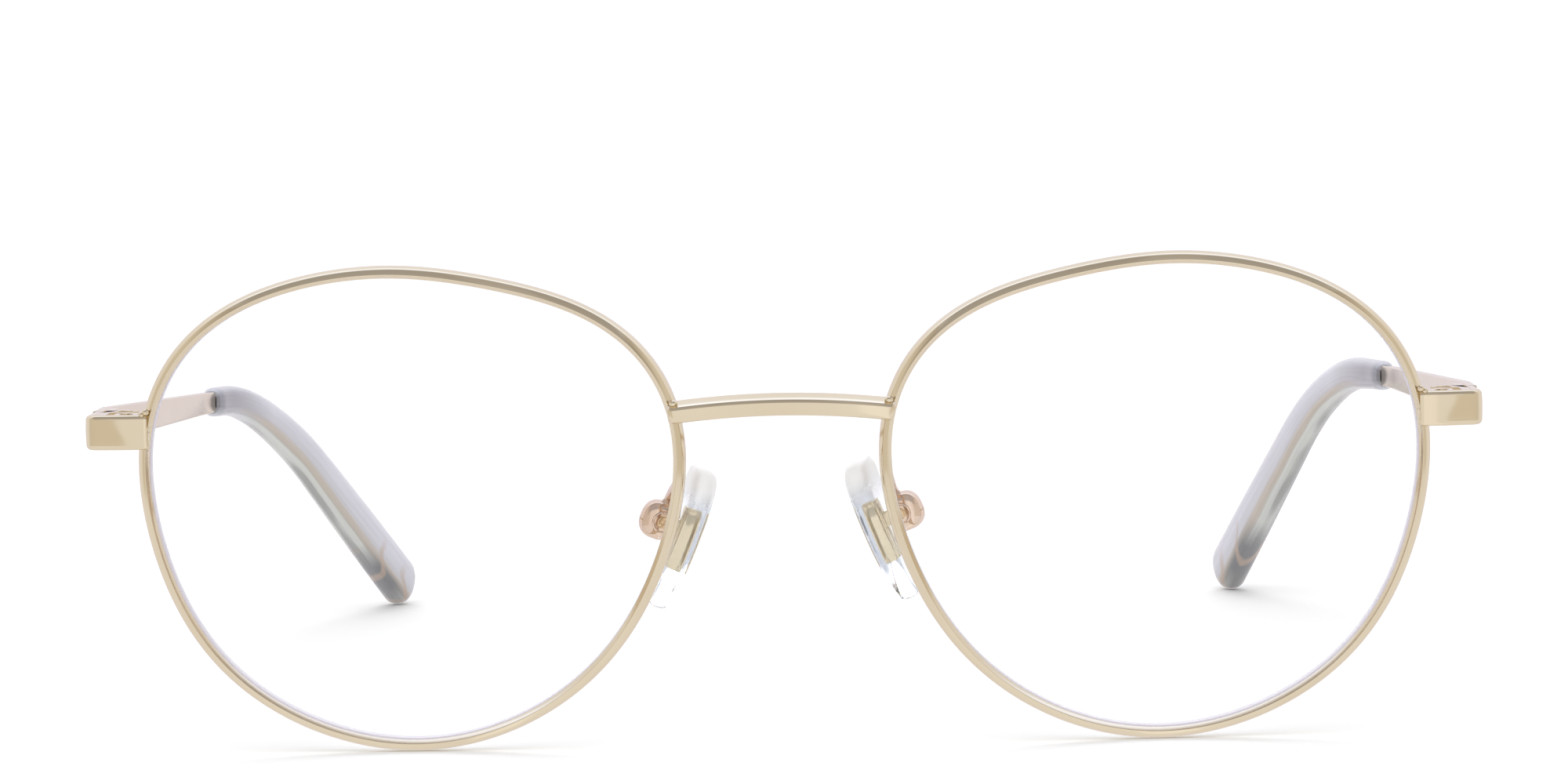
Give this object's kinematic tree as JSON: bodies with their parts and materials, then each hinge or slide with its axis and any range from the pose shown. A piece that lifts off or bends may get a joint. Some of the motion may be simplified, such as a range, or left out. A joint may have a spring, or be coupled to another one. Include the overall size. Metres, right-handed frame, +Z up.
{
  "type": "eyeglasses",
  "caption": "Round full-rim metal eyeglasses with slim arched bridge, clear silicone nose pads, folding strip temples and acetate temple tips, standing open.",
  "frame": {"origin": "middle of the bounding box's underside: on the table, on the mid-plane, halfway between the front and the temple tips", "axes": "+X to the wearer's left, +Y from the lenses back to the temple tips, +Z up"},
  "size_m": [0.135, 0.1447, 0.0473],
  "materials": {
    "gold_metal": "polished",
    "screw_metal": "satin",
    "horn_acetate": "gloss",
    "clear_silicone": "satin",
    "demo_lens": "gloss"
  },
  "bodies": {
    "front": {"bridge": "gold_metal", "right_rim": "gold_metal", "left_rim": "gold_metal", "right_lens": "demo_lens", "left_lens": "demo_lens", "right_endpiece": "gold_metal", "left_endpiece": "gold_metal", "right_closing_block_upper": "gold_metal", "left_closing_block_upper": "gold_metal", "right_closing_block_lower": "gold_metal", "left_closing_block_lower": "gold_metal", "right_closing_screw": "screw_metal", "left_closing_screw": "screw_metal", "right_front_hinge": "gold_metal", "left_front_hinge": "gold_metal", "right_hinge_screw": "screw_metal", "left_hinge_screw": "screw_metal", "right_pad_arm": "gold_metal", "left_pad_arm": "gold_metal", "right_pad_box": "gold_metal", "left_pad_box": "gold_metal", "right_pad_screw": "screw_metal", "left_pad_screw": "screw_metal"},
    "right_temple": {"right_temple": "gold_metal", "right_temple_hinge": "gold_metal", "right_temple_tip": "horn_acetate"},
    "left_temple": {"left_temple": "gold_metal", "left_temple_hinge": "gold_metal", "left_temple_tip": "horn_acetate"},
    "right_pad": {"right_nose_pad": "clear_silicone", "right_pad_insert": "gold_metal"},
    "left_pad": {"left_nose_pad": "clear_silicone", "left_pad_insert": "gold_metal"}
  },
  "joints": [
    {"name": "right_temple_fold", "type": "hinge", "parent": "front", "child": "right_temple", "pos_m": [-0.0642, -0.0622, 0.03155], "axis": [0, 0, -1], "range_deg": [0, 85]},
    {"name": "left_temple_fold", "type": "hinge", "parent": "front", "child": "left_temple", "pos_m": [0.0642, -0.0622, 0.03155], "axis": [0, 0, 1], "range_deg": [0, 78]},
    {"name": "right_pad_rock", "type": "hinge", "parent": "front", "child": "right_pad", "pos_m": [-0.01204, -0.06345, 0.02163], "axis": [-0.1783, 0.9812, 0.0735], "range_deg": [-10, 10]},
    {"name": "left_pad_rock", "type": "hinge", "parent": "front", "child": "left_pad", "pos_m": [0.01204, -0.06345, 0.02163], "axis": [0.1783, 0.9812, 0.0735], "range_deg": [-10, 10]}
  ]
}
